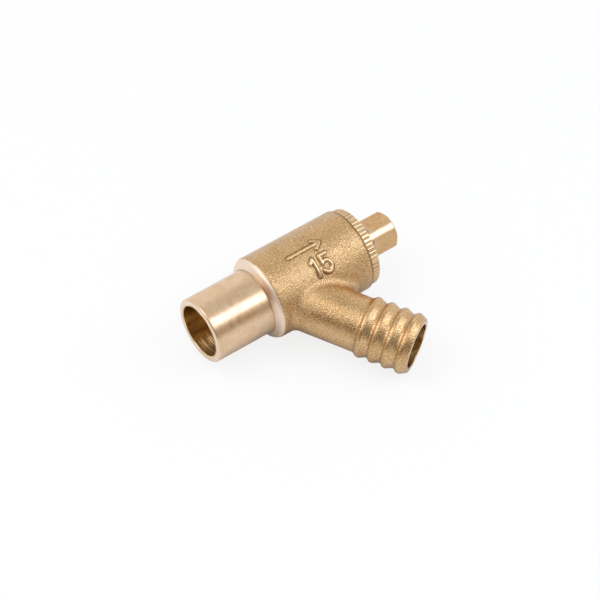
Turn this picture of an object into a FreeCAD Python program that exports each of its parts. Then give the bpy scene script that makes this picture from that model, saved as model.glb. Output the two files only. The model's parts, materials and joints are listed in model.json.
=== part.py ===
"""Drain cock: brass body with a pipe spigot and a barbed hose tail, shut by a square-headed screw spindle.

The body's axis is X, from the mouth of the spigot (the origin) to the spindle. Z is up, and the cock lies
on its side as it comes to rest: on the barrel and on the last barb of the tail. The spindle is modelled
shut, with its washer on the seat. Lengths are millimetres and angles are degrees.
"""
import FreeCAD
import Part
import Sketcher
import os

SIZES = {
    # pipe spigot and the shoulder where it meets the barrel
    "spigot_dia": 15.0,
    "spigot_length": 14.4,
    "spigot_wall": 1.5,
    "spigot_lip": 0.4,
    "shoulder_run": 0.95,
    "shoulder_rise": 2.05,
    "shoulder_round": 1.7,
    # barrel
    "barrel_wall": 1.95,
    "barrel_edge": 0.6,
    # seat: the inlet is drilled to a floor just short of the shoulder, and the orifice goes on from there
    "inlet_setback": 1.6,
    "drill_half_angle": 59.0,
    "orifice_dia": 8.0,
    "orifice_length": 3.6,
    "seat_rim_width": 1.2,
    "seat_rim_rise": 0.8,
    "chamber_step": 0.6,
    # hose tail
    "tail_angle": 60.0,
    "tail_foot": 2.69,
    "tail_dia": 12.42,
    "tail_wall": 1.16,
    "tail_plain": 6.33,
    "tail_root_fillet": 2.0,
    "tail_lip": 0.3,
    "outlet_depth": 19.0,
    "port_dia": 7.5,
    "port_inset": 0.35,
    # barbs, numbered from the tip
    "barb_count": 4,
    "barb_first": 2.1,
    "barb_pitch": 3.13,
    "barb_height": 0.69,
    "barb_undercut": 0.07,
    "barb_rise": 0.9,
    "barb_land": 0.6,
    "barb_round": 0.6,
    # spindle, from its washer cup to its key square
    "cup_gap": 0.4,
    "cup_wall": 0.75,
    "cup_length": 5.6,
    "relief_depth": 0.6,
    "relief_length": 2.4,
    "screw_lead_in": 0.4,
    "screw_length": 5.0,
    "screw_chamfer": 0.5,
    "lift": 4.0,
    "lift_stop_gap": 0.3,
    "spindle_dia": 8.6,
    "spindle_proud": 9.0,
    "end_chamfer": 0.9,
    "end_chamfer_angle": 35.0,
    "square_across": 7.1,
    "square_length": 6.1,
    "square_run_out_angle": 38.0,
    "square_turn": 79.0,
    # washer in the spindle's cup
    "washer_thick": 3.2,
    "washer_proud": 0.8,
    "washer_chamfer": 0.3,
    # gland cap
    "cap_step": 0.5,
    "cap_thick": 1.9,
    "cap_edge": 0.2,
    "neck_lip": 1.2,
    "serration_count": 54,
    "serration_width": 0.92,
    "serration_root": 0.1,
    "serration_depth": 0.22,
    # seal in the cap's groove
    "seal_section": 1.78,
    "groove_slack": 0.42,
    "groove_back": 0.6,
    # running clearances, in radius
    "screw_clear": 0.05,
    "shank_clear": 0.05,
    "washer_clear": 0.05,
    "seal_clear": 0.04,
}

# radii, worked out from the spigot inwards
SPIGOT_RADIUS = "Sheet.spigot_dia / 2"
INLET_RADIUS = f"({SPIGOT_RADIUS} - Sheet.spigot_wall)"
BARREL_RADIUS = f"({SPIGOT_RADIUS} + Sheet.shoulder_rise)"
THREAD_RADIUS = f"({BARREL_RADIUS} - Sheet.barrel_wall)"
CHAMBER_RADIUS = f"({THREAD_RADIUS} - Sheet.chamber_step)"
ORIFICE_RADIUS = "Sheet.orifice_dia / 2"
SEAT_RIM_RADIUS = f"({ORIFICE_RADIUS} + Sheet.seat_rim_width)"
CUP_RADIUS = f"({CHAMBER_RADIUS} - Sheet.cup_gap)"
RECESS_RADIUS = f"({CUP_RADIUS} - Sheet.cup_wall)"
WASHER_RADIUS = f"({RECESS_RADIUS} - Sheet.washer_clear)"
SCREW_RADIUS = f"({THREAD_RADIUS} - Sheet.screw_clear)"
SHANK_RADIUS = "Sheet.spindle_dia / 2"
CAP_BORE_RADIUS = f"({SHANK_RADIUS} + Sheet.shank_clear)"
CAP_RADIUS = f"({BARREL_RADIUS} - Sheet.cap_step)"
SEAL_INNER = f"({SHANK_RADIUS} + Sheet.seal_clear)"
GROOVE_RADIUS = f"({SEAL_INNER} + Sheet.seal_section + Sheet.seal_clear)"

# stations along the body's axis, each from the one before it
SHOULDER_END = "(Sheet.spigot_length + Sheet.shoulder_run)"
INLET_FLOOR = "(Sheet.spigot_length - Sheet.inlet_setback)"
ORIFICE_START = f"({INLET_FLOOR} + ({INLET_RADIUS} - {ORIFICE_RADIUS}) / tan(Sheet.drill_half_angle))"
SEAT_FACE = f"({ORIFICE_START} + Sheet.orifice_length)"
SEAT_FLOOR = f"({SEAT_FACE} - Sheet.seat_rim_rise)"
CUP_RIM = f"({SEAT_FACE} + Sheet.washer_proud)"
CUP_FLOOR = f"({SEAT_FACE} + Sheet.washer_thick)"
CUP_END = f"({CUP_RIM} + Sheet.cup_length)"
SCREW_START = f"({CUP_END} + Sheet.relief_length)"
THREAD_START = f"({SCREW_START} - Sheet.screw_lead_in)"
SCREW_END = f"({SCREW_START} + Sheet.screw_length)"
NECK_FRONT = f"({SCREW_END} + Sheet.lift + Sheet.lift_stop_gap)"
GROOVE_FRONT = f"({NECK_FRONT} + Sheet.neck_lip)"
GROOVE_BACK = f"({GROOVE_FRONT} + Sheet.seal_section + Sheet.groove_slack)"
BARREL_END = f"({GROOVE_BACK} + Sheet.groove_back)"
CAP_BACK = f"({BARREL_END} + Sheet.cap_thick)"
SPINDLE_END = f"({CAP_BACK} + Sheet.spindle_proud)"

# the tail: its axis leaves the body's axis at TAIL_CROSS, and distances along it are counted from there
TAIL_RADIUS = "Sheet.tail_dia / 2"
CREST_RADIUS = f"({TAIL_RADIUS} + Sheet.barb_height)"
VALLEY_RADIUS = f"({TAIL_RADIUS} - Sheet.barb_undercut)"
OUTLET_RADIUS = f"({TAIL_RADIUS} - Sheet.tail_wall)"
PORT_RADIUS = "Sheet.port_dia / 2"
TAIL_CROSS = (f"({SHOULDER_END} + Sheet.tail_foot"
              f" + ({TAIL_RADIUS} - {BARREL_RADIUS} * cos(Sheet.tail_angle)) / sin(Sheet.tail_angle))")
TAIL_ROOT = f"({BARREL_RADIUS} + {TAIL_RADIUS} * cos(Sheet.tail_angle)) / sin(Sheet.tail_angle)"
TAIL_END = (f"({TAIL_ROOT} + Sheet.tail_plain + Sheet.barb_rise"
            " + (Sheet.barb_count - 1) * Sheet.barb_pitch + Sheet.barb_first)")
OUTLET_FLOOR = f"({TAIL_END} - Sheet.outlet_depth)"
PORT_END = f"({OUTLET_FLOOR} - ({OUTLET_RADIUS} - {PORT_RADIUS}) / tan(Sheet.drill_half_angle))"
PORT_START = (f"(({CHAMBER_RADIUS} - Sheet.port_inset - {PORT_RADIUS} * cos(Sheet.tail_angle))"
              " / sin(Sheet.tail_angle))")

FULL_TURN = 360
SQUARE_SIDES = "4"
X_AXIS = FreeCAD.Vector(1, 0, 0)
DOWN = FreeCAD.Vector(0, 0, -1)

doc = FreeCAD.newDocument("drain_cock")


def make_sheet():
    """Spreadsheet of the driving dimensions, one aliased cell each."""
    cells = doc.addObject("Spreadsheet::Sheet", "Sheet")
    for row, (alias, size) in enumerate(SIZES.items(), start=1):
        cells.set(f"A{row}", alias)
        cells.set(f"B{row}", str(size))
        cells.setAlias(f"B{row}", alias)
    doc.recompute()
    return cells


sheet = make_sheet()


def value_of(text):
    """Number that an expression on the sheet comes to."""
    result = sheet.evalExpression(text)
    return float(getattr(result, "Value", result))


def bind(item, **expressions):
    """Tie properties to the sheet; a double underscore in a name stands for a dot."""
    for name, text in expressions.items():
        item.setExpression(name.replace("__", "."), text)


def turn_to(item, angle):
    """Set a piece's angle about the body's axis."""
    item.Placement = FreeCAD.Placement(FreeCAD.Vector(), FreeCAD.Rotation(X_AXIS, value_of(angle)))
    bind(item, Placement__Rotation__Angle=angle)


def new_body(name):
    """Empty body with that label."""
    body = doc.addObject("PartDesign::Body", name)
    body.Label = name
    return body


def origin_feature(body, role):
    """The body's own origin plane or axis of that role."""
    return next(item for item in body.Origin.OriginFeatures if item.Role == role)


def outline(body, name, points, plane="XY_Plane"):
    """Closed sketch through points, each a pair of expressions for its distances from the sketch's axes."""
    sketch = body.newObject("Sketcher::SketchObject", name)
    sketch.AttachmentSupport = [(origin_feature(body, plane), "")]
    sketch.MapMode = "FlatFace"
    corners = [FreeCAD.Vector(value_of(across), value_of(up), 0) for across, up in points]
    count = len(corners)
    for index, corner in enumerate(corners):
        sketch.addGeometry(Part.LineSegment(corner, corners[(index + 1) % count]))
    for index in range(count):
        sketch.addConstraint(Sketcher.Constraint("Coincident", index, 2, (index + 1) % count, 1))
    for index, (across, up) in enumerate(points):
        for kind, text in (("DistanceX", across), ("DistanceY", up)):
            number = sketch.addConstraint(Sketcher.Constraint(kind, -1, 1, index, 1, value_of(text)))
            sketch.setExpression(f"Constraints[{number}]", text)
    return sketch


def turn(body, name, points, cut=False, along_tail=False):
    """Turn a profile of (distance along the axis, radius) points about the body's or the tail's axis."""
    sketch = outline(body, f"{name}_profile", points)
    if along_tail:
        slant = FreeCAD.Rotation(DOWN, value_of("Sheet.tail_angle"))
        sketch.AttachmentOffset = FreeCAD.Placement(FreeCAD.Vector(), slant)
        bind(sketch, AttachmentOffset__Base__x=TAIL_CROSS,
             AttachmentOffset__Rotation__Angle="Sheet.tail_angle")
    turned = body.newObject("PartDesign::Groove" if cut else "PartDesign::Revolution", name)
    turned.Profile = sketch
    turned.ReferenceAxis = (sketch, ["H_Axis"])
    turned.Angle = FULL_TURN
    doc.recompute()


def cut_round(body, name, sketch, length, count, side="One side"):
    """Cut a sketch to that length, on one side of its plane or on both, and repeat it round the axis."""
    pocket = body.newObject("PartDesign::Pocket", name)
    pocket.Profile = sketch
    pocket.Type = "Length"
    pocket.SideType = side
    bind(pocket, Length=length)
    doc.recompute()
    pattern = body.newObject("PartDesign::PolarPattern", f"{name}_pattern")
    pattern.Originals = [pocket]
    pattern.Axis = (origin_feature(body, "X_Axis"), [""])
    pattern.Angle = FULL_TURN
    bind(pattern, Occurrences=count)
    body.Tip = pattern
    doc.recompute()


def round_edges(body, name, radius, wanted):
    """Fillet the edges of the body's tip that a test picks out."""
    base = body.Tip
    names = [f"Edge{number}" for number, edge in enumerate(base.Shape.Edges, start=1) if wanted(edge)]
    fillet = body.newObject("PartDesign::Fillet", name)
    fillet.Base = (base, names)
    bind(fillet, Radius=radius)
    doc.recompute()


def circles(*rims):
    """Test for edges that run round any of the rims, each a centre and an expression for the radius."""
    near = 1e-4
    wanted = [(centre, value_of(radius)) for centre, radius in rims]

    def test(edge):
        curve = edge.Curve
        return isinstance(curve, Part.Circle) and any(
            abs(curve.Radius - radius) < near and (curve.Center - centre).Length < near
            for centre, radius in wanted)

    return test


def on_axis(distance):
    """Point on the body's axis."""
    return X_AXIS * value_of(distance)


def on_tail(distance):
    """Point on the tail's axis, before the body is laid down."""
    slant = FreeCAD.Rotation(DOWN, value_of("Sheet.tail_angle"))
    return on_axis(TAIL_CROSS) + slant.multVec(X_AXIS) * value_of(distance)


def barb_crest(number):
    """Distance of a barb's crest along the tail; barb 0 is next to the tip."""
    return f"({TAIL_END} - Sheet.barb_first - {number} * Sheet.barb_pitch)"


def tail_outline():
    """Half section of the tail: a plain tube, then barbs that rise steeply to a short land and run down."""
    points = [("0", "0"), ("0", TAIL_RADIUS)]
    barbs = range(int(value_of("Sheet.barb_count")))
    for number in reversed(barbs):
        crest = barb_crest(number)
        foot_radius = TAIL_RADIUS if number == barbs[-1] else VALLEY_RADIUS
        points += [
            (f"{crest} - Sheet.barb_rise", foot_radius),
            (crest, CREST_RADIUS),
            (f"{crest} + Sheet.barb_land", CREST_RADIUS),
        ]
    return points + [(TAIL_END, VALLEY_RADIUS), (TAIL_END, "0")]


def make_valve_body():
    """One stamped brass piece: spigot, barrel and tail, with the waterway, the seat and the thread bore."""
    body = new_body("valve_body")
    turn(body, "outside", [
        ("0", "0"),
        ("0", SPIGOT_RADIUS),
        ("Sheet.spigot_length", SPIGOT_RADIUS),
        (SHOULDER_END, BARREL_RADIUS),
        (BARREL_END, BARREL_RADIUS),
        (BARREL_END, "0"),
    ])
    round_edges(body, "shoulder_rounding", "Sheet.shoulder_round",
                circles((on_axis(SHOULDER_END), BARREL_RADIUS)))

    tail = tail_outline()
    turn(body, "tail", tail, along_tail=True)
    round_edges(body, "tail_root", "Sheet.tail_root_fillet",
                lambda edge: not isinstance(edge.Curve, (Part.Circle, Part.Line)))
    round_edges(body, "barb_rounding", "Sheet.barb_round",
                circles(*[(on_tail(along), radius) for along, radius in tail[2:-2]]))

    turn(body, "waterway", [
        ("0", "0"),
        ("0", INLET_RADIUS),
        (INLET_FLOOR, INLET_RADIUS),
        (ORIFICE_START, ORIFICE_RADIUS),
        (SEAT_FACE, ORIFICE_RADIUS),
        (SEAT_FACE, SEAT_RIM_RADIUS),
        (SEAT_FLOOR, SEAT_RIM_RADIUS),
        (SEAT_FLOOR, CHAMBER_RADIUS),
        (THREAD_START, CHAMBER_RADIUS),
        (THREAD_START, THREAD_RADIUS),
        (BARREL_END, THREAD_RADIUS),
        (BARREL_END, "0"),
    ], cut=True)
    turn(body, "outlet", [
        (PORT_START, "0"),
        (PORT_START, PORT_RADIUS),
        (PORT_END, PORT_RADIUS),
        (OUTLET_FLOOR, OUTLET_RADIUS),
        (TAIL_END, OUTLET_RADIUS),
        (TAIL_END, "0"),
    ], cut=True, along_tail=True)

    round_edges(body, "spigot_lip", "Sheet.spigot_lip", circles((on_axis("0"), SPIGOT_RADIUS)))
    round_edges(body, "tail_lip", "Sheet.tail_lip", circles((on_tail(TAIL_END), VALLEY_RADIUS)))
    round_edges(body, "barrel_edge", "Sheet.barrel_edge", circles((on_axis(BARREL_END), BARREL_RADIUS)))
    return body


def make_gland_cap():
    """Cap screwed into the barrel: serrated rim outside, threaded neck and seal groove inside."""
    body = new_body("gland_cap")
    edge_radius = f"{CAP_RADIUS} - Sheet.cap_edge"
    turn(body, "turned_cap", [
        (NECK_FRONT, CAP_BORE_RADIUS),
        (NECK_FRONT, SCREW_RADIUS),
        (BARREL_END, SCREW_RADIUS),
        (BARREL_END, edge_radius),
        (f"{BARREL_END} + Sheet.cap_edge", CAP_RADIUS),
        (f"{CAP_BACK} - Sheet.cap_edge", CAP_RADIUS),
        (CAP_BACK, edge_radius),
        (CAP_BACK, CAP_BORE_RADIUS),
        (GROOVE_BACK, CAP_BORE_RADIUS),
        (GROOVE_BACK, GROOVE_RADIUS),
        (GROOVE_FRONT, GROOVE_RADIUS),
        (GROOVE_FRONT, CAP_BORE_RADIUS),
    ])
    # the slot's sides go on past the rim at the same slope, so they are drawn to twice its depth
    root_radius = f"{CAP_RADIUS} - Sheet.serration_depth"
    outer_radius = f"{CAP_RADIUS} + Sheet.serration_depth"
    half_root = "Sheet.serration_root / 2"
    half_outer = f"(Sheet.serration_width - {half_root})"
    slot = outline(body, "serration_profile", [
        (f"-{half_root}", root_radius),
        (half_root, root_radius),
        (half_outer, outer_radius),
        (f"-{half_outer}", outer_radius),
    ], plane="YZ_Plane")
    bind(slot, AttachmentOffset__Base__z=CAP_BACK)
    cut_round(body, "serration", slot, "Sheet.cap_thick", "Sheet.serration_count")
    return body


def make_spindle():
    """Screw spindle: washer cup, thread, round shank and a key square milled on its end."""
    body = new_body("spindle")
    chamfer_run = "Sheet.end_chamfer * tan(Sheet.end_chamfer_angle)"
    crest_edge = f"{SCREW_RADIUS} - Sheet.screw_chamfer"
    turn(body, "turned_blank", [
        (CUP_FLOOR, "0"),
        (CUP_FLOOR, RECESS_RADIUS),
        (CUP_RIM, RECESS_RADIUS),
        (CUP_RIM, CUP_RADIUS),
        (CUP_END, CUP_RADIUS),
        (CUP_END, f"{CUP_RADIUS} - Sheet.relief_depth"),
        (SCREW_START, f"{CUP_RADIUS} - Sheet.relief_depth"),
        (SCREW_START, crest_edge),
        (f"{SCREW_START} + Sheet.screw_chamfer", SCREW_RADIUS),
        (f"{SCREW_END} - Sheet.screw_chamfer", SCREW_RADIUS),
        (SCREW_END, crest_edge),
        (SCREW_END, SHANK_RADIUS),
        (f"{SPINDLE_END} - {chamfer_run}", SHANK_RADIUS),
        (SPINDLE_END, f"{SHANK_RADIUS} - Sheet.end_chamfer"),
        (SPINDLE_END, "0"),
    ])
    # a flat seen from its side: it ends in a slope that runs out through the shank's surface
    half_across = "Sheet.square_across / 2"
    cut_top = "Sheet.spindle_dia"
    flat_start = f"{SPINDLE_END} - Sheet.square_length"
    run_out = f"({cut_top} - {half_across}) / tan(Sheet.square_run_out_angle)"
    flat = outline(body, "flat_profile", [
        (SPINDLE_END, half_across),
        (SPINDLE_END, cut_top),
        (f"{flat_start} - {run_out}", cut_top),
        (flat_start, half_across),
    ], plane="XZ_Plane")
    cut_round(body, "flat", flat, "Sheet.spindle_dia", SQUARE_SIDES, side="Symmetric")
    turn_to(body, "Sheet.square_turn")
    return body


def make_valve_washer():
    """Rubber disc that shuts on the seat."""
    body = new_body("valve_washer")
    turn(body, "disc", [
        (SEAT_FACE, "0"),
        (SEAT_FACE, f"{WASHER_RADIUS} - Sheet.washer_chamfer"),
        (f"{SEAT_FACE} + Sheet.washer_chamfer", WASHER_RADIUS),
        (CUP_FLOOR, WASHER_RADIUS),
        (CUP_FLOOR, "0"),
    ])
    return body


def make_gland_o_ring():
    """Rubber ring round the shank, in the cap's groove."""
    ring = doc.addObject("Part::Torus", "gland_o_ring")
    ring.Label = "gland_o_ring"
    ring.Placement = FreeCAD.Placement(FreeCAD.Vector(), FreeCAD.Rotation(FreeCAD.Vector(0, 0, 1), X_AXIS))
    bind(ring, Radius1=f"{SEAL_INNER} + Sheet.seal_section / 2", Radius2="Sheet.seal_section / 2",
         Placement__Base__x=f"({GROOVE_FRONT} + {GROOVE_BACK}) / 2")
    return ring


def lie_down(body):
    """Turn the body until the tail's last barb is as low as the barrel."""
    reach = barb_crest(0)
    dip = (f"(asin({BARREL_RADIUS} / sqrt({reach} ^ 2 + {CREST_RADIUS} ^ 2))"
           f" - atan({CREST_RADIUS} / {reach}))")
    turn_to(body, f"asin(sin({dip}) / sin(Sheet.tail_angle))")


valve_body = make_valve_body()
lie_down(valve_body)
pieces = [valve_body, make_gland_cap(), make_spindle(), make_valve_washer(), make_gland_o_ring()]
doc.recompute()

for item in doc.Objects:
    if "Invalid" in item.State or "Error" in item.State:
        raise RuntimeError(f"{item.Name} failed: {item.State}")
for piece in pieces:
    if piece.Shape.isNull() or not piece.Shape.isValid():
        raise RuntimeError(f"{piece.Label} has no valid shape")

os.makedirs("parts", exist_ok=True)
for piece in pieces:
    piece.Shape.exportStep(f"parts/{piece.Label}.step")
    print(piece.Label, round(piece.Shape.Volume, 2))
print("tail crosses at", value_of(TAIL_CROSS), "and ends at", value_of(TAIL_END))
print("body turned by", valve_body.Placement.Rotation.Angle)
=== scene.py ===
"""Looks of the drain cock: brass finishes, raised marks on the barrel, studio light and the view.

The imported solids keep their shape. Lengths here are millimetres until they reach a Blender object, which is
in metres. Materials read object coordinates, so each finish stays on its surface when the spindle moves.

Named recipes hold what a noise takes, with its scale in features to a millimetre. Named limits, and the
starts and stops of zones, are those of a smooth step: where it begins and ends, then its values there, 0 and
1 unless given. It begins at the higher number where it falls as the number grows. Colours are linear red,
green and blue.
"""
import json
import math
from types import SimpleNamespace

import bpy
from mathutils import Matrix, Vector


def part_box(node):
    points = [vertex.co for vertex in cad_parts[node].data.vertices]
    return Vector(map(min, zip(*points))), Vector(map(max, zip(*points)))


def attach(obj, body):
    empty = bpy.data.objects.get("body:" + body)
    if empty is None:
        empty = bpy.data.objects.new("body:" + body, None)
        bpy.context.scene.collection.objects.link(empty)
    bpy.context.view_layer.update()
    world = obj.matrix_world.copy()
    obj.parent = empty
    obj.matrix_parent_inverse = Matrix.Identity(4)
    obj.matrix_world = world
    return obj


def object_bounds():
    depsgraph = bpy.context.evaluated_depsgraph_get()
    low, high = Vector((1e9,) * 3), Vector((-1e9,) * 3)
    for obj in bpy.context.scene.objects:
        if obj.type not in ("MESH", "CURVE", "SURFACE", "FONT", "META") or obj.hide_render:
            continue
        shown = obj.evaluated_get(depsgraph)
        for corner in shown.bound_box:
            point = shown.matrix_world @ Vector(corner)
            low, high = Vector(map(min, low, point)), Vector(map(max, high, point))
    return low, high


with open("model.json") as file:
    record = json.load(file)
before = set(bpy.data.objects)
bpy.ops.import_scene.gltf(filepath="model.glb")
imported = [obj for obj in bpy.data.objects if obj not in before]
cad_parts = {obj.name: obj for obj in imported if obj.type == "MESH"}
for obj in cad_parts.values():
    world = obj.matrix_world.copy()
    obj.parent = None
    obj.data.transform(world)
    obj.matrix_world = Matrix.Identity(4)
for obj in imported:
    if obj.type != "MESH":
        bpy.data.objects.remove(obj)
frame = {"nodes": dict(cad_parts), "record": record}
CAD_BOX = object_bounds()

MM = 0.001
SCENE = bpy.context.scene
MOUNTS = {mount["name"]: mount for mount in frame["record"]["mounts"]}
WHITE = (1.0, 1.0, 1.0)

# the view: it looks at AIM, the point in the middle of the picture
VIEW_AZIMUTH = math.radians(-36.53)
VIEW_ELEVATION = math.radians(49.04)
VIEW_ROLL = math.radians(0.3)
VIEW_DISTANCE = 565.8
VIEW_WIDTH = 128.94
AIM = Vector((22.21, -5.9, 0.58))
SENSOR = 36.0

# places along the body's axis and radii from it; an inside's radius is one that its wall lies within
SHOULDER_FOOT = 14.3
SHOULDER_RIM = 15.75
SPIGOT_RADIUS = 7.5
INSIDE_RADIUS = 8.5
BORE_RADIUS = 6.15
BORE_EDGE = 6.3
BARREL_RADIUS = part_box("valve_body")[1][1] / MM
CAP_THICK = 1.9
CAP_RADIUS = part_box("gland_cap")[1][1] / MM
CAP_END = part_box("gland_cap")[1][0] / MM
BARREL_END = CAP_END - CAP_THICK
SPINDLE_RADIUS = 4.3
SQUARE_REACH = 5.7
RUN_OUT_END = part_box("spindle")[1][0] / MM - SQUARE_REACH
TAIL_INSIDE_RADIUS = 5.6
TAIL_TIP = Vector(MOUNTS["outlet_bore"]["pos_m"]) / MM
TAIL_WAY = Vector(MOUNTS["outlet_bore"]["axis"])
TAIL_REACH = TAIL_TIP.y / TAIL_WAY.y

# width over which one finish gives way to the next, and radius of a broken edge with the samples it takes
FINISH_EDGE = 0.05
EDGE_BREAK = 0.14
BEVEL_SAMPLES = 6


class Nodes:
    """Short hand for building a node tree: each call adds a node and returns its output."""

    def __init__(self, tree):
        self.tree = tree

    def add(self, kind, settings=None, output=0, **inputs):
        """Node of that kind, with settings on the node and values or links on its named inputs."""
        made = self.tree.nodes.new(kind)
        for name, setting in (settings or {}).items():
            setattr(made, name, setting)
        for name, value in inputs.items():
            self.put(made.inputs[name.replace("_", " ")], value)
        return made.outputs[output] if made.outputs else None

    def put(self, socket, value):
        """Link an output to a socket, or set the socket's own value."""
        if isinstance(value, bpy.types.NodeSocket):
            self.tree.links.new(value, socket)
        elif value is not None:
            socket.default_value = value

    def math(self, operation, first, second=None, third=None, clamp=False):
        """Arithmetic on numbers."""
        made = self.tree.nodes.new("ShaderNodeMath")
        made.operation = operation
        made.use_clamp = clamp
        for socket, value in zip(made.inputs, (first, second, third)):
            self.put(socket, value)
        return made.outputs[0]

    def times(self, first, second):
        """Product of two numbers."""
        return self.math("MULTIPLY", first, second)

    def ramp(self, value, rise, base):
        """Base plus rise times a number."""
        return self.math("MULTIPLY_ADD", value, rise, base)

    def most(self, *values):
        """Largest of several numbers."""
        result = values[0]
        for value in values[1:]:
            result = self.math("MAXIMUM", result, value)
        return result

    def step(self, value, start, end, low=0.0, high=1.0):
        """Smooth step of a number from low to high."""
        made = self.tree.nodes.new("ShaderNodeMapRange")
        made.interpolation_type = "SMOOTHSTEP"
        for name, number in (("Value", value), ("From Min", start), ("From Max", end),
                             ("To Min", low), ("To Max", high)):
            self.put(made.inputs[name], number)
        return made.outputs[0]

    def vector(self, operation, first, second=None, output=0):
        """Arithmetic on vectors; output 1 is the number that some operations give."""
        made = self.tree.nodes.new("ShaderNodeVectorMath")
        made.operation = operation
        self.put(made.inputs[0], first)
        self.put(made.inputs[1], second)
        return made.outputs[output]

    def dot(self, first, second):
        """Dot product of two vectors."""
        return self.vector("DOT_PRODUCT", first, second, output=1)

    def mix(self, kind, share, first, second):
        """Value of that kind, FLOAT, VECTOR or RGBA, between two others."""
        made = self.tree.nodes.new("ShaderNodeMix")
        made.data_type = kind
        socket_type = "VALUE" if kind == "FLOAT" else kind
        self.put(made.inputs["Factor"], share)
        for name, value in (("A", first), ("B", second)):
            self.put(next(s for s in made.inputs if s.name == name and s.type == socket_type), value)
        return next(s for s in made.outputs if s.type == socket_type)

    def between(self, share, first, second):
        """Number between two numbers."""
        return self.mix("FLOAT", share, first, second)

    def between_ways(self, share, first, second):
        """Vector between two vectors."""
        return self.mix("VECTOR", share, first, second)

    def blend(self, share, first, second):
        """Colour between two colours."""
        ends = [end if isinstance(end, bpy.types.NodeSocket) else (*end, 1.0) for end in (first, second)]
        return self.mix("RGBA", share, *ends)

    def noise(self, place, scale, detail=2.0, roughness=0.5, ahead=0.0):
        """Noise, 0 to 1, at a place; ahead shifts it so that two of them differ."""
        shifted = self.vector("ADD", place, (ahead, ahead, ahead))
        return self.add("ShaderNodeTexNoise", Vector=shifted, Scale=scale, Detail=detail,
                        Roughness=roughness)

    def lines(self, along, scale, detail=2.0):
        """Noise that varies along one number only, as turning marks do."""
        return self.add("ShaderNodeTexNoise", {"noise_dimensions": "1D"}, W=along, Scale=scale,
                        Detail=detail)

    def openness(self, reach, samples, only_local=False):
        """1 where nothing stands within reach, down to 0 in a deep crevice."""
        settings = {"samples": samples, "only_local": only_local}
        return self.add("ShaderNodeAmbientOcclusion", settings, 1, Distance=reach * MM)

    def bump(self, height, depth, under=None):
        """Normal of a surface whose height, 0 to 1, stands for that depth in millimetres."""
        return self.add("ShaderNodeBump", Height=height, Strength=1.0, Distance=depth * MM, Normal=under)

    def eased(self, radius=EDGE_BREAK):
        """Normal that turns softly over the edges, as a broken edge does."""
        return self.add("ShaderNodeBevel", {"samples": BEVEL_SAMPLES}, Radius=radius * MM)

    def put_finish(self, shader, colour, roughness, normal):
        """Put a finish on a shader."""
        self.put(shader.inputs["Base Color"], colour)
        self.put(shader.inputs["Roughness"], roughness)
        self.put(shader.inputs["Normal"], normal)


def start_material(name):
    """New metal with its nodes, its shader and the place on the object in millimetres."""
    material = bpy.data.materials.new(name)
    material.use_nodes = True
    shader = material.node_tree.nodes["Principled BSDF"]
    shader.inputs["Metallic"].default_value = 1.0
    nodes = Nodes(material.node_tree)
    place = nodes.vector("SCALE", nodes.add("ShaderNodeTexCoord", output=3))
    place.node.inputs["Scale"].default_value = 1.0 / MM
    return material, nodes, shader, place


def round_axis(nodes, place):
    """Distance along the body's axis and radius from it."""
    split = nodes.tree.nodes.new("ShaderNodeSeparateXYZ")
    nodes.put(split.inputs[0], place)
    across = nodes.math("POWER", split.outputs[1], 2.0)
    up = nodes.math("POWER", split.outputs[2], 2.0)
    return split.outputs[0], nodes.math("SQRT", nodes.math("ADD", across, up))


def round_tail(nodes, place):
    """Distance along the tail from its mouth, negative behind it, and radius from the tail's axis."""
    offset = nodes.vector("SUBTRACT", place, TAIL_TIP)
    along = nodes.dot(offset, TAIL_WAY)
    way = nodes.vector("SCALE", tuple(TAIL_WAY))
    nodes.put(way.node.inputs["Scale"], along)
    return along, nodes.vector("LENGTH", nodes.vector("SUBTRACT", offset, way), output=1)


# turned brass: fine and broad marks round the axis, mottled, with brown specks
PALE_BRASS = (0.82, 0.605, 0.415)
WARM_BRASS = (0.70, 0.475, 0.282)
SPECK_BRASS = (0.52, 0.34, 0.14)
FACE_STRETCH = 1.3
FINE_MARKS = {"scale": 5.0, "detail": 3.0}
BROAD_MARKS = {"scale": 0.9, "detail": 1.0}
TURNED_MOTTLE = {"scale": 0.5, "detail": 3.0, "roughness": 0.6}
FINE_SHARE = 0.55
MOTTLE_SHARE = 0.45
WARM_LIMITS = (0.36, 0.64)
SPECKS = {"scale": 2.4, "detail": 3.0, "roughness": 0.65, "ahead": 17.0}
SPECK_LIMITS = (0.52, 0.74)
SPECK_SHARE = 0.45
TURNED_ROUGH = 0.21
TURNED_ROUGH_SPREAD = 0.14


def turned_finish(nodes, along, radius, place, pale, warm):
    """Colour, roughness and height of a turned surface, with marks that run round the axis."""
    reach = nodes.ramp(radius, FACE_STRETCH, along)
    fine = nodes.lines(reach, **FINE_MARKS)
    broad = nodes.lines(reach, **BROAD_MARKS)
    mottle = nodes.noise(place, **TURNED_MOTTLE)
    share = nodes.math("ADD", nodes.times(fine, FINE_SHARE), nodes.times(mottle, MOTTLE_SHARE))
    colour = nodes.blend(nodes.step(share, *WARM_LIMITS), pale, warm)
    speck = nodes.step(nodes.noise(place, **SPECKS), *SPECK_LIMITS)
    colour = nodes.blend(nodes.times(speck, SPECK_SHARE), colour, SPECK_BRASS)
    roughness = nodes.ramp(broad, TURNED_ROUGH_SPREAD, TURNED_ROUGH)
    return colour, roughness, fine


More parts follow.
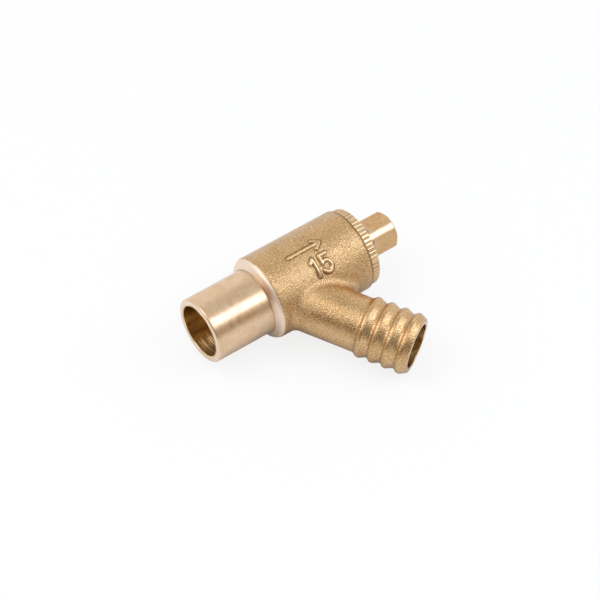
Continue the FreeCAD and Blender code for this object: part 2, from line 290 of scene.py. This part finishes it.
# drilled brass: gold in lengthwise bands that are a painted reflection, with rings that show more along one
# side of the inlet, rougher there and coloured pale and brown as painted sheen and shade
BORE_DEEP = (0.66, 0.41, 0.15)
BORE_PALE = (1.0, 0.83, 0.50)
CUT_SHADE_DEEP = (0.55, 0.30, 0.11)
CUT_SHEEN_PALE = (1.0, 0.70, 0.38)
RING_WANDER = {"scale": 0.3}
RING_WANDER_REACH = 0.35
RINGS = {"scale": 3.8, "detail": 1.0}
RING_LIMITS = (0.40, 0.60)
CUT_SHEEN_SIDE = (0.0, -0.343, -0.939)
CUT_START = (BORE_RADIUS * 0.62, BORE_RADIUS * 0.95)
CUT_STOP = (BORE_RADIUS * 1.15, BORE_RADIUS * 1.05)
CUT_PATCHES = {"scale": 0.5, "ahead": 41.0}
CUT_PATCH_LIMITS = (0.25, 0.5, 0.4, 1.0)
CUT_SHEEN_SHARE = 0.9
REFLECTION_BANDS = {"scale": 0.42, "ahead": 61.0}
REFLECTION_BAND_STRETCH = (0.1, 1.0, 1.0)
REFLECTION_BAND_LIMITS = (0.38, 0.62)
BORE_ROUGH = 0.12
RING_ROUGH = 0.2
CUT_ROUGH = 0.12
RING_HEIGHT = 0.25
CUT_HEIGHT = 3.0


def bored_finish(nodes, along, place):
    """Colour, roughness and height inside a bore, with the rings that a drill leaves."""
    wander = nodes.ramp(nodes.noise(place, **RING_WANDER), RING_WANDER_REACH, along)
    rings = nodes.lines(wander, **RINGS)
    # on the wall that catches light through the mouth the rings are rougher and cut deeper, and their colour
    # alternates pale and brown as painted sheen and painted shade
    side = nodes.dot(place, CUT_SHEEN_SIDE)
    cut = nodes.times(nodes.step(side, *CUT_START), nodes.step(side, *CUT_STOP))
    cut = nodes.times(cut, nodes.step(nodes.noise(place, **CUT_PATCHES), *CUT_PATCH_LIMITS))
    # lengthwise bands of darker and paler gold: a painted reflection of the surroundings in the bore
    reflection_band = nodes.noise(nodes.vector("MULTIPLY", place, REFLECTION_BAND_STRETCH), **REFLECTION_BANDS)
    colour = nodes.blend(nodes.step(reflection_band, *REFLECTION_BAND_LIMITS), BORE_DEEP, BORE_PALE)
    cut_sheen_colour = nodes.blend(nodes.step(rings, *RING_LIMITS), CUT_SHADE_DEEP, CUT_SHEEN_PALE)
    colour = nodes.blend(nodes.times(cut, CUT_SHEEN_SHARE), colour, cut_sheen_colour)
    roughness = nodes.ramp(rings, RING_ROUGH, nodes.ramp(cut, CUT_ROUGH, BORE_ROUGH))
    return colour, roughness, nodes.times(rings, nodes.ramp(cut, CUT_HEIGHT, RING_HEIGHT))


# hot-stamped, blasted brass: grainy and pitted, with painted shade in crevices and in the grain's hollows and
# a painted sparkle on its tops
STAMPED_BRASS = (0.58, 0.352, 0.155)
STAMPED_PALE = (0.65, 0.42, 0.206)
HOLLOW_SHADE_BRASS = (0.30, 0.17, 0.055)
GRAIN_SPARKLE_BRASS = (0.90, 0.70, 0.48)
PIT_BRASS = (0.20, 0.11, 0.035)
CREVICE_SHADE_BRASS = (0.22, 0.125, 0.04)
CREVICE_REACH = 1.5
CREVICE_SAMPLES = 8
CREVICE_LIMITS = (0.88, 0.50)
CREVICE_SHADE_PATCHES = {"scale": 1.3, "detail": 3.0, "roughness": 0.6, "ahead": 29.0}
CREVICE_SHADE_PATCH_LIMITS = (0.25, 0.65, 0.35, 0.85)
DIMPLES = {"scale": 3.8, "roughness": 0.55}
HOLLOW_LIMITS = (0.47, 0.28)
GRAIN_LIMITS = (0.54, 0.74)
PATCHES = {"scale": 0.22, "detail": 4.0, "roughness": 0.6, "ahead": 7.0}
PATCH_LIMITS = (0.3, 0.7)
PITS = {"scale": 1.1, "ahead": 3.0}
PIT_LIMITS = (0.68, 0.80)
PIT_SHARE = 0.7
PIT_HEIGHT = -0.5
SWELL = {"scale": 0.5, "ahead": 11.0}
SWELL_HEIGHT = 0.5
STAMPED_ROUGH = 0.20
STAMPED_ROUGH_SPREAD = 0.14


def stamped_finish(nodes, place):
    """Colour, roughness and height of stamped brass."""
    # painted shade: darker brown in crevices, where the surface is closed in, in patches
    open_sky = nodes.openness(CREVICE_REACH, CREVICE_SAMPLES, only_local=True)
    crevice = nodes.step(open_sky, *CREVICE_LIMITS)
    scale = nodes.times(crevice, nodes.step(nodes.noise(place, **CREVICE_SHADE_PATCHES), *CREVICE_SHADE_PATCH_LIMITS))
    dimples = nodes.noise(place, **DIMPLES)
    patch = nodes.noise(place, **PATCHES)
    pits = nodes.step(nodes.noise(place, **PITS), *PIT_LIMITS)
    colour = nodes.blend(nodes.step(patch, *PATCH_LIMITS), STAMPED_BRASS, STAMPED_PALE)
    # the grain's hollows are darker and its tops paler, following its bumps: painted shade and painted
    # sparkle over the grain's tone
    colour = nodes.blend(nodes.step(dimples, *HOLLOW_LIMITS), colour, HOLLOW_SHADE_BRASS)
    colour = nodes.blend(nodes.step(dimples, *GRAIN_LIMITS), colour, GRAIN_SPARKLE_BRASS)
    colour = nodes.blend(nodes.times(pits, PIT_SHARE), colour, PIT_BRASS)
    # scale here is the painted shade in crevices
    colour = nodes.blend(scale, colour, CREVICE_SHADE_BRASS)
    roughness = nodes.ramp(patch, STAMPED_ROUGH_SPREAD, STAMPED_ROUGH)
    height = nodes.ramp(nodes.noise(place, **SWELL), SWELL_HEIGHT, dimples)
    return colour, roughness, nodes.ramp(pits, PIT_HEIGHT, height)


# the body's finishes: where each lies, and what sets it apart
RIM_WANDER = {"scale": 0.8}
RIM_WANDER_REACH = 0.24
INLET_LIMITS = (INSIDE_RADIUS + FINISH_EDGE, INSIDE_RADIUS)
OUTLET_LIMITS = (TAIL_INSIDE_RADIUS + FINISH_EDGE, TAIL_INSIDE_RADIUS)
OUTLET_START = (-TAIL_REACH, -TAIL_REACH + 2.0 * FINISH_EDGE)
BORE_LIMITS = (BORE_RADIUS + FINISH_EDGE, BORE_RADIUS)
LIP_LIMITS = (0.03, 0.015)
BROKEN_LIMITS = (BORE_EDGE + 0.06, BORE_EDGE)
LIP_BREAK = 0.4
MOUTH_LIMITS = (-0.06, -0.02)
MOUTH_BRASS = (0.48, 0.33, 0.20)
MOUTH_SHARE = 0.7
BARREL_LIMITS = (BARREL_RADIUS + 0.2, BARREL_RADIUS + 0.1)
END_FACE_LIMITS = (BARREL_END - 2.0 * FINISH_EDGE, BARREL_END - FINISH_EDGE)
SHOULDER_START = (SHOULDER_FOOT - 0.1, SHOULDER_FOOT + 0.1)
SHOULDER_STOP = (SHOULDER_RIM + 0.6, SHOULDER_RIM + 0.4)
SHOULDER_RINGS = 1.6
FACED_BRASS = (0.88, 0.70, 0.545)
FACED_ROUGH_LIMITS = (SHOULDER_FOOT + 0.6, SHOULDER_RIM - 0.3, 0.31, 0.5)
ROOT_START = (SHOULDER_FOOT - 0.3, SHOULDER_FOOT - 0.1)
ROOT_LIMITS = (SPIGOT_RADIUS + 0.3, SPIGOT_RADIUS + 0.1)
ROOT_SHADE_BRASS = (0.42, 0.26, 0.12)
ROOT_SHARE = 0.6
CAP_LINE_LIMITS = (BARREL_END - 0.8, BARREL_END - 0.45)
CAP_SHADE_LINE_BRASS = (0.15, 0.08, 0.025)
CAP_LINE_SHARE = 0.75
COARSE_LIMITS = (BARREL_RADIUS + 0.5, BARREL_RADIUS + 5.0, 1.0, 0.6)
STAMPED_DEPTH = 0.14
RING_DEPTH = 0.045
TURNED_DEPTH = 0.012


def body_places(nodes, place):
    """Where each finish of the body lies, 0 to 1, with the distances along and out from the axes."""
    along, radius = round_axis(nodes, place)
    tail_along, tail_radius = round_tail(nodes, place)
    wander = nodes.noise(place, **RIM_WANDER)
    rim = nodes.ramp(wander, RIM_WANDER_REACH, SHOULDER_RIM - RIM_WANDER_REACH / 2.0)
    spigot = nodes.step(nodes.math("SUBTRACT", along, rim), FINISH_EDGE, -FINISH_EDGE)
    inlet = nodes.step(radius, *INLET_LIMITS)
    outlet = nodes.times(nodes.step(tail_radius, *OUTLET_LIMITS), nodes.step(tail_along, *OUTLET_START))
    at = SimpleNamespace(along=along, radius=radius)
    at.mouth = nodes.step(tail_along, *MOUTH_LIMITS)
    at.barrel = nodes.step(radius, *BARREL_LIMITS)
    end_face = nodes.times(at.barrel, nodes.step(along, *END_FACE_LIMITS))
    at.turned = nodes.most(spigot, inlet, outlet, at.mouth, end_face)
    # the spigot's inner edge is broken, which takes the pale face back from the bore
    at.lip = nodes.step(along, *LIP_LIMITS)
    at.broken = nodes.times(at.lip, nodes.step(radius, *BROKEN_LIMITS))
    at.shoulder = nodes.times(nodes.step(along, *SHOULDER_START), nodes.step(along, *SHOULDER_STOP))
    at.root = nodes.times(nodes.step(along, *ROOT_START), nodes.step(radius, *ROOT_LIMITS))
    # each bore has rings round its own axis
    at.bores = nodes.most(nodes.step(radius, *BORE_LIMITS), outlet, at.broken)
    at.bore_along = nodes.between(outlet, along, tail_along)
    return at


def body_turned(nodes, place, at):
    """Colour, roughness and height of the body's turned faces outside the bores."""
    colour, roughness, fine = turned_finish(nodes, at.along, at.radius, place, PALE_BRASS, WARM_BRASS)
    # faces cut across the axis are paler and duller than the turned spigot between them
    faced = nodes.most(at.shoulder, at.lip)
    colour = nodes.blend(faced, colour, FACED_BRASS)
    # painted shade in the corner where the spigot meets the shoulder
    colour = nodes.blend(nodes.times(at.root, ROOT_SHARE), colour, ROOT_SHADE_BRASS)
    colour = nodes.blend(nodes.times(at.mouth, MOUTH_SHARE), colour, MOUTH_BRASS)
    roughness = nodes.between(faced, roughness, nodes.step(at.along, *FACED_ROUGH_LIMITS))
    return colour, roughness, nodes.times(fine, nodes.ramp(at.shoulder, SHOULDER_RINGS, at.turned))


def body_material():
    """Body: turned at the spigot, the end face and the mouths, drilled inside and as stamped outside."""
    material, nodes, shader, place = start_material("stamped_brass")
    at = body_places(nodes, place)
    turned_colour, turned_rough, turned_height = body_turned(nodes, place, at)
    bored_colour, bored_rough, ring_height = bored_finish(nodes, at.bore_along, place)
    stamped_colour, stamped_rough, stamped_height = stamped_finish(nodes, place)
    turned_colour = nodes.blend(at.bores, turned_colour, bored_colour)
    turned_rough = nodes.between(at.bores, turned_rough, bored_rough)
    # painted shade: a dark band along the end of the barrel, next to the gland cap
    shade_beside_cap = nodes.times(nodes.step(at.along, *CAP_LINE_LIMITS), CAP_LINE_SHARE)
    stamped_colour = nodes.blend(nodes.times(shade_beside_cap, at.barrel), stamped_colour, CAP_SHADE_LINE_BRASS)
    # the barrel came out of the die rougher than the tail
    coarse = nodes.step(at.radius, *COARSE_LIMITS)
    stamped_height = nodes.times(stamped_height, nodes.math("SUBTRACT", coarse, at.turned, clamp=True))
    normal = nodes.between_ways(at.broken, nodes.eased(), nodes.eased(LIP_BREAK))
    normal = nodes.bump(stamped_height, STAMPED_DEPTH, normal)
    normal = nodes.bump(nodes.times(ring_height, at.bores), RING_DEPTH, normal)
    normal = nodes.bump(turned_height, TURNED_DEPTH, normal)
    nodes.put_finish(shader, nodes.blend(at.turned, stamped_colour, turned_colour),
                     nodes.between(at.turned, stamped_rough, turned_rough), normal)
    return material


# the gland cap's serrations, from their roots out to the crests
FLANK_ROOT_SHADE_BRASS = (0.40, 0.25, 0.09)
FLANK_BRASS = (0.70, 0.49, 0.24)
FLANK_LIMITS = (CAP_RADIUS - 0.24, CAP_RADIUS - 0.17)
FLANK_ROUGH = 0.3
CREST_LIMITS = (CAP_RADIUS - 0.15, CAP_RADIUS - 0.10)
CREST_ROUND_LIMITS = (CAP_RADIUS - 0.2, CAP_RADIUS)
CAP_FACE_LIMITS = (CAP_END - 0.12, CAP_END - 0.06)
SERRATION_BREAK = 0.08
CAP_DEPTH = 0.004


def cap_material():
    """Gland cap: turned, with paler crests on its serrations and flanks that darken towards their roots as
    painted shade.
    """
    material, nodes, shader, place = start_material("turned_brass_cap")
    along, radius = round_axis(nodes, place)
    colour, roughness, fine = turned_finish(nodes, along, radius, place, PALE_BRASS, WARM_BRASS)
    # painted shade: the serrations' flanks darken towards the roots between the teeth
    flank = nodes.blend(nodes.step(radius, *FLANK_LIMITS), FLANK_ROOT_SHADE_BRASS, FLANK_BRASS)
    turned = nodes.most(nodes.step(radius, *CREST_LIMITS), nodes.step(along, *CAP_FACE_LIMITS))
    # crests are worn round, from straight out at the top to the slope of the cut at the root
    outward = nodes.vector("NORMALIZE", nodes.vector("MULTIPLY", place, (0.0, 1.0, 1.0)))
    outward = nodes.add("ShaderNodeVectorTransform", {
        "vector_type": "NORMAL", "convert_from": "OBJECT", "convert_to": "WORLD"}, Vector=outward)
    roundness = nodes.step(radius, *CREST_ROUND_LIMITS)
    worn = nodes.vector("NORMALIZE", nodes.between_ways(roundness, nodes.eased(SERRATION_BREAK), outward))
    nodes.put_finish(shader, nodes.blend(turned, flank, colour),
                     nodes.between(turned, FLANK_ROUGH, roughness), nodes.bump(fine, CAP_DEPTH, worn))
    return material


# the spindle: browner than the spigot, mottled, with a pale painted sheen where the flats run out and on the
# shank's land
SPINDLE_PALE = (0.67, 0.435, 0.225)
SPINDLE_WARM = (0.58, 0.35, 0.165)
SPINDLE_BROWN = (0.51, 0.31, 0.145)
RUN_OUT_SHEEN_BRASS = (0.62, 0.44, 0.28)
SPINDLE_MOTTLE = {"scale": 1.6, "detail": 4.0, "roughness": 0.65, "ahead": 5.0}
SPINDLE_MOTTLE_LIMITS = (0.49, 0.70)
SPINDLE_MOTTLE_ROUGH = 0.16
SPINDLE_MOTTLE_HEIGHT = 2.0
SPINDLE_POLISH = 0.17
RUN_OUT_WANDER_REACH = 0.5
RUN_OUT_LIMITS = (RUN_OUT_END + 0.45, RUN_OUT_END)
LAND_LIMITS = (SPINDLE_RADIUS - 0.14, SPINDLE_RADIUS - 0.06)
SPINDLE_BREAK = 0.06
SPINDLE_DEPTH = 0.008


def spindle_material():
    """Spindle: turned shank and milled flats."""
    material, nodes, shader, place = start_material("turned_brass_spindle")
    along, radius = round_axis(nodes, place)
    mottle = nodes.noise(place, **SPINDLE_MOTTLE)
    colour, roughness, fine = turned_finish(nodes, along, radius, place, SPINDLE_PALE, SPINDLE_WARM)
    colour = nodes.blend(nodes.step(mottle, *SPINDLE_MOTTLE_LIMITS), colour, SPINDLE_BROWN)
    run_out = nodes.step(nodes.ramp(mottle, RUN_OUT_WANDER_REACH, along), *RUN_OUT_LIMITS)
    land = nodes.step(radius, *LAND_LIMITS)
    # paler where the flats run out and on the shank's land: a painted sheen
    colour = nodes.blend(nodes.most(run_out, land), colour, RUN_OUT_SHEEN_BRASS)
    polished = nodes.math("SUBTRACT", roughness, SPINDLE_POLISH)
    height = nodes.math("ADD", fine, nodes.times(mottle, SPINDLE_MOTTLE_HEIGHT))
    nodes.put_finish(shader, colour, nodes.ramp(mottle, SPINDLE_MOTTLE_ROUGH, polished),
                     nodes.bump(height, SPINDLE_DEPTH, nodes.eased(SPINDLE_BREAK)))
    return material


# black rubber with a faint moulded grain
RUBBER_DARK = (0.012, 0.012, 0.012)
RUBBER_PALE = (0.035, 0.034, 0.033)
RUBBER_GRAIN = {"scale": 6.0, "detail": 3.0, "roughness": 0.6}
RUBBER_ROUGH = 0.5
RUBBER_ROUGH_SPREAD = 0.2
RUBBER_DEPTH = 0.01


def rubber_material():
    """Rubber of the washer and the seal ring."""
    material, nodes, shader, place = start_material("rubber")
    shader.inputs["Metallic"].default_value = 0.0
    grain = nodes.noise(place, **RUBBER_GRAIN)
    nodes.put_finish(shader, nodes.blend(grain, RUBBER_DARK, RUBBER_PALE),
                     nodes.ramp(grain, RUBBER_ROUGH_SPREAD, RUBBER_ROUGH), nodes.bump(grain, RUBBER_DEPTH))
    return material


# the raised marks' finish: rubbed bright on top, with painted shade round their feet
RUBBED_BRASS = (0.78, 0.56, 0.33)
RUBBED_LIMITS = (BARREL_RADIUS + 0.12, BARREL_RADIUS + 0.3)
FOOT_SHADE_BRASS = (0.22, 0.12, 0.035)
FOOT_SHADE_LIMITS = (BARREL_RADIUS + 0.16, BARREL_RADIUS + 0.04)
FOOT_SHADE_PATCHES = {"scale": 1.2, "detail": 3.0, "roughness": 0.6, "ahead": 53.0}
FOOT_SHADE_PATCH_LIMITS = (0.3, 0.6, 0.3, 0.95)
MARK_DEPTH = 0.01


def mark_material():
    """Raised marks: the body's stamped brass, a little brighter where they are rubbed, and darker round their
    feet as painted shade.
    """
    material, nodes, shader, place = start_material("stamped_brass_marks")
    colour, roughness, height = stamped_finish(nodes, place)
    radius = round_axis(nodes, place)[1]
    # painted shade round the marks' feet, in patches
    foot_shade = nodes.times(nodes.step(radius, *FOOT_SHADE_LIMITS),
                        nodes.step(nodes.noise(place, **FOOT_SHADE_PATCHES), *FOOT_SHADE_PATCH_LIMITS))
    colour = nodes.blend(foot_shade, colour, FOOT_SHADE_BRASS)
    colour = nodes.blend(nodes.step(radius, *RUBBED_LIMITS), colour, RUBBED_BRASS)
    nodes.put_finish(shader, colour, roughness, nodes.bump(height, MARK_DEPTH))
    return material


# raised marks: size of their mesh, how far their foot is sunk and the low apron round their strokes
MARK_MESH = 0.08
MARK_FOOT = 0.08
MARK_SUNK = 2.0 * MARK_FOOT
MARK_APRON = 0.28
APRON_RISE = 0.012
DOME_POWER = 0.75
ARC_STEPS = 18

# the marks: angles round the barrel in degrees, from +Y towards +Z, places along it, widths and heights
FIGURE_TURN = 126.0
FIGURE_HALF_WIDTH = 0.48
FIGURE_RISE = 0.42
ONE_PLACE = 26.7
FIVE_PLACE = 29.3
ARROW_TURN = 97.0
ARROW_HALF_WIDTH = 0.42
ARROW_RISE = 0.22
ARROW_PLACE = 26.5


def arc(middle, across, tall, start, end):
    """Points on an ellipse from one angle to another, in degrees."""
    turns = [math.radians(start + (end - start) * step / ARC_STEPS) for step in range(ARC_STEPS + 1)]
    return [(middle[0] + across * math.cos(t), middle[1] + tall * math.sin(t)) for t in turns]


def far_from(point, stroke):
    """Distance from a point to a line of points."""
    nearest = math.inf
    for (x0, y0), (x1, y1) in zip(stroke, stroke[1:]):
        dx, dy = x1 - x0, y1 - y0
        share = ((point[0] - x0) * dx + (point[1] - y0) * dy) / (dx * dx + dy * dy)
        share = min(1.0, max(0.0, share))
        nearest = min(nearest, math.hypot(point[0] - x0 - share * dx, point[1] - y0 - share * dy))
    return nearest


def mark_tops(strokes, half_width, rise):
    """Points of a mark's upper side on a square grid: {(column, row): (flat place, height)}."""
    reach = half_width + MARK_APRON + MARK_MESH
    points = [point for stroke in strokes for point in stroke]
    left, right = min(p[0] for p in points) - reach, max(p[0] for p in points) + reach
    low, high = min(p[1] for p in points) - reach, max(p[1] for p in points) + reach
    columns, rows = math.ceil((right - left) / MARK_MESH), math.ceil((high - low) / MARK_MESH)
    tops = {}
    for column in range(columns + 1):
        for row in range(rows + 1):
            spot = (left + column * MARK_MESH, low + row * MARK_MESH)
            away = min(far_from(spot, stroke) for stroke in strokes)
            if away < half_width + MARK_APRON:
                dome = max(0.0, 1.0 - (away / half_width) ** 2) ** DOME_POWER
                tops[column, row] = (spot, max(APRON_RISE, dome * (rise + MARK_FOOT) - MARK_FOOT))
    return tops


def raised_mark(name, strokes, middle, turn, half_width, rise, material):
    """Strokes as rounded ridges on the barrel, a closed solid whose foot is sunk in it.

    Strokes are drawn flat in millimetres, along the barrel and up, about the mark's middle. The middle is a
    distance along the barrel's axis, and turn is the angle round it.
    """
    tops = mark_tops(strokes, half_width, rise)
    cells = [(c, r) for c, r in tops if all(k in tops for k in ((c + 1, r), (c, r + 1), (c + 1, r + 1)))]
    vertices, faces, index = [], [], {}

    def vertex(key, deep):
        """Index of a point of the top or of the foot under it."""
        if (key, deep) not in index:
            (along, up), height = tops[key]
            radius = BARREL_RADIUS + (-MARK_SUNK if deep else height)
            angle = math.radians(turn) - up / BARREL_RADIUS
            index[key, deep] = len(vertices)
            vertices.append(((middle + along) * MM,
                             radius * math.cos(angle) * MM, radius * math.sin(angle) * MM))
        return index[key, deep]

    edges = {}
    for c, r in cells:
        ring = [(c, r), (c, r + 1), (c + 1, r + 1), (c + 1, r)]
        faces.append([vertex(key, False) for key in reversed(ring)])
        faces.append([vertex(key, True) for key in ring])
        for first, second in zip(ring, ring[1:] + ring[:1]):
            edges[first, second] = True
    for first, second in edges:
        if (second, first) not in edges:
            corners = ((first, False), (second, False), (second, True), (first, True))
            faces.append([vertex(key, deep) for key, deep in corners])
    mesh = bpy.data.meshes.new(name)
    mesh.from_pydata(vertices, [], faces)
    mesh.validate()
    for polygon in mesh.polygons:
        polygon.use_smooth = True
    mesh.materials.append(material)
    mark = bpy.data.objects.new(name, mesh)
    SCENE.collection.objects.link(mark)
    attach(mark, "valve")


def add_marks():
    """Pipe size and flow arrow, raised on the barrel by the stamping die."""
    material = mark_material()
    one = [[(-0.75, 1.2), (0.05, 2.0), (0.05, -2.0)]]
    five = [[(1.0, 2.0), (-0.75, 2.0), (-0.85, 0.2)] + arc((-0.05, -0.7), 1.1, 1.3, 138.0, -150.0)]
    arrow = [[(-4.2, 0.0), (4.2, 0.0)], [(2.7, 1.1), (4.2, 0.0), (2.7, -1.1)]]
    raised_mark("size_mark_1", one, ONE_PLACE, FIGURE_TURN, FIGURE_HALF_WIDTH, FIGURE_RISE, material)
    raised_mark("size_mark_5", five, FIVE_PLACE, FIGURE_TURN, FIGURE_HALF_WIDTH, FIGURE_RISE, material)
    raised_mark("flow_arrow", arrow, ARROW_PLACE, ARROW_TURN, ARROW_HALF_WIDTH, ARROW_RISE, material)


def dress(node, material):
    """Give a CAD node its finish."""
    mesh = frame["nodes"][node].data
    mesh.materials.clear()
    mesh.materials.append(material)


# the floor, its first two sizes in metres: white to the camera, and in metal with a painted shadow close
# under the object
FLOOR_HEIGHT = CAD_BOX[0][2]
FLOOR_HALF = 3.0
FLOOR_PAINT = 0.9
FLOOR_GLOW_SEEN = 0.82
FLOOR_GLOW_IN_METAL = 0.12
UNDER_REACH = 11.0
UNDER_SAMPLES = 6
UNDER_SHADOW_LIMITS = (0.2, 0.75, 0.4, FLOOR_PAINT)


def seen_rays(nodes):
    """1 for rays that show the surroundings: straight to the camera, in gloss or through glass."""
    path = nodes.tree.nodes.new("ShaderNodeLightPath")
    names = ("Is Camera Ray", "Is Glossy Ray", "Is Transmission Ray")
    return nodes.most(*[path.outputs[name] for name in names])


def floor_material():
    """Pale floor that keeps the object's shadow and shows white to the camera and in the metal, with a
    painted shadow under the object that only the metal shows.
    """
    material = bpy.data.materials.new("floor")
    material.use_nodes = True
    nodes = Nodes(material.node_tree)
    nodes.tree.nodes.clear()
    path = nodes.tree.nodes.new("ShaderNodeLightPath")
    # painted shadow: the floor's paint darkens close under the object, in glossy rays only
    under = nodes.step(nodes.openness(UNDER_REACH, UNDER_SAMPLES), *UNDER_SHADOW_LIMITS)
    shadowed_grey = nodes.between(path.outputs["Is Glossy Ray"], FLOOR_PAINT, under)
    paint = nodes.add("ShaderNodeBsdfDiffuse", Color=shadowed_grey)
    glow = nodes.add("ShaderNodeEmission", Color=(*WHITE, 1.0), Strength=1.0)
    in_metal = nodes.times(seen_rays(nodes), FLOOR_GLOW_IN_METAL)
    seen = nodes.between(path.outputs["Is Camera Ray"], in_metal, FLOOR_GLOW_SEEN)
    mixed = nodes.tree.nodes.new("ShaderNodeMixShader")
    for socket, value in zip(mixed.inputs, (seen, paint, glow)):
        nodes.put(socket, value)
    nodes.add("ShaderNodeOutputMaterial", Surface=mixed.outputs[0])
    return material


def make_floor():
    """Floor under the object."""
    mesh = bpy.data.meshes.new("floor")
    corners = [(-1, -1), (1, -1), (1, 1), (-1, 1)]
    points = [(x * FLOOR_HALF, y * FLOOR_HALF, FLOOR_HEIGHT) for x, y in corners]
    mesh.from_pydata(points, [], [(0, 1, 2, 3)])
    mesh.materials.append(floor_material())
    floor = bpy.data.objects.new("floor", mesh)
    SCENE.collection.objects.link(floor)


# the surroundings, by the direction's height and by how far it points to the side that the view comes from
FRONT = Vector((math.sin(VIEW_AZIMUTH), -math.cos(VIEW_AZIMUTH), 0.0))
FRONT_LIMITS = (0.0, 0.4)
DARK_START = (-0.02, 0.22)
DARK_STOP = (0.64, 0.50)
SHADE_LIMITS = (0.55, 0.88)
SIDE_SHADE = (0.44, 0.36, 0.27)
FRONT_SHADE = (0.065, 0.047, 0.03)
OVERHEAD_LIMITS = (0.62, 0.85, 1.0, 0.72)
AMBIENT = 0.74
FLAG_WAY = (-0.998, -0.06, 0.02)
FLAG_LIMITS = (0.90, 0.985)
FLAG_TONE = (0.46, 0.30, 0.17)


def make_world():
    """White surroundings that metal shows greyer overhead, dark low in front and brown past the spigot."""
    world = bpy.data.worlds.new("studio")
    SCENE.world = world
    world.use_nodes = True
    nodes = Nodes(world.node_tree)
    nodes.tree.nodes.clear()
    path = nodes.tree.nodes.new("ShaderNodeLightPath")
    in_metal = path.outputs["Is Glossy Ray"]
    way = nodes.add("ShaderNodeTexCoord", output=0)
    height = nodes.dot(way, (0.0, 0.0, 1.0))
    ahead = nodes.dot(way, FRONT)
    low = nodes.times(nodes.step(height, *DARK_START), nodes.step(height, *DARK_STOP))
    dark = nodes.times(nodes.times(nodes.step(ahead, *FRONT_LIMITS), low), in_metal)
    shade = nodes.blend(nodes.step(ahead, *SHADE_LIMITS), SIDE_SHADE, FRONT_SHADE)
    flag = nodes.times(nodes.step(nodes.dot(way, FLAG_WAY), *FLAG_LIMITS), in_metal)
    tone = nodes.blend(flag, nodes.blend(dark, WHITE, shade), FLAG_TONE)
    overhead = nodes.step(height, *OVERHEAD_LIMITS)
    backdrop = nodes.between(path.outputs["Is Camera Ray"], overhead, 1.0)
    strength = nodes.between(seen_rays(nodes), AMBIENT, backdrop)
    background = nodes.add("ShaderNodeBackground", Color=tone, Strength=strength)
    nodes.add("ShaderNodeOutputWorld", Surface=background)


# softboxes: the way to each from the object, its sizes in metres, its radiance and its tint
LAMP_DISTANCE = 0.5
SOFTBOXES = (
    {"name": "key_softbox", "way": (0.50, -0.46, 0.735), "across": 0.215, "length": 0.44,
     "level": 2.15, "tint": (0.88, 1.0, 1.27)},
    {"name": "left_softbox", "way": (-0.56, 0.28, 0.78), "across": 0.28, "length": 0.32,
     "level": 2.2, "tint": (0.95, 1.0, 1.12)},
    {"name": "top_softbox", "way": (-0.28, 0.05, 0.96), "across": 0.28, "length": 0.28,
     "level": 0.5, "tint": WHITE},
)


def add_softbox(name, way, across, length, level, tint):
    """Softbox that shines on the object from a direction; its length lies along the body."""
    lamp = bpy.data.lights.new(name, "AREA")
    lamp.shape = "RECTANGLE"
    lamp.color = tint
    lamp.size, lamp.size_y = length, across
    lamp.energy = level * math.pi * across * length
    back = Vector(way).normalized()
    side = (Vector((1.0, 0.0, 0.0)) - back * back.x).normalized()
    turn = Matrix((side, back.cross(side), back)).transposed()
    holder = bpy.data.objects.new(name, lamp)
    holder.matrix_world = Matrix.Translation(AIM * MM + back * LAMP_DISTANCE) @ turn.to_4x4()
    SCENE.collection.objects.link(holder)


def make_camera():
    """Camera at the photograph's view."""
    turn, tilt = VIEW_AZIMUTH, VIEW_ELEVATION
    right = Vector((math.cos(turn), math.sin(turn), 0.0))
    back = Vector((math.sin(turn) * math.cos(tilt), -math.cos(turn) * math.cos(tilt), math.sin(tilt)))
    level = Matrix((right, back.cross(right), back)).transposed()
    lens = bpy.data.cameras.new("camera")
    lens.sensor_width = SENSOR
    lens.lens = SENSOR * VIEW_DISTANCE / VIEW_WIDTH
    camera = bpy.data.objects.new("camera", lens)
    place = Matrix.Translation((AIM + back * VIEW_DISTANCE) * MM)
    camera.matrix_world = place @ level.to_4x4() @ Matrix.Rotation(VIEW_ROLL, 4, "Z")
    SCENE.collection.objects.link(camera)
    SCENE.camera = camera


dress("valve_body", body_material())
dress("gland_cap", cap_material())
dress("spindle", spindle_material())
RUBBER = rubber_material()
dress("valve_washer", RUBBER)
dress("gland_o_ring", RUBBER)

add_marks()
make_floor()
make_world()
for softbox in SOFTBOXES:
    add_softbox(**softbox)
make_camera()
SCENE.view_settings.view_transform = "Standard"
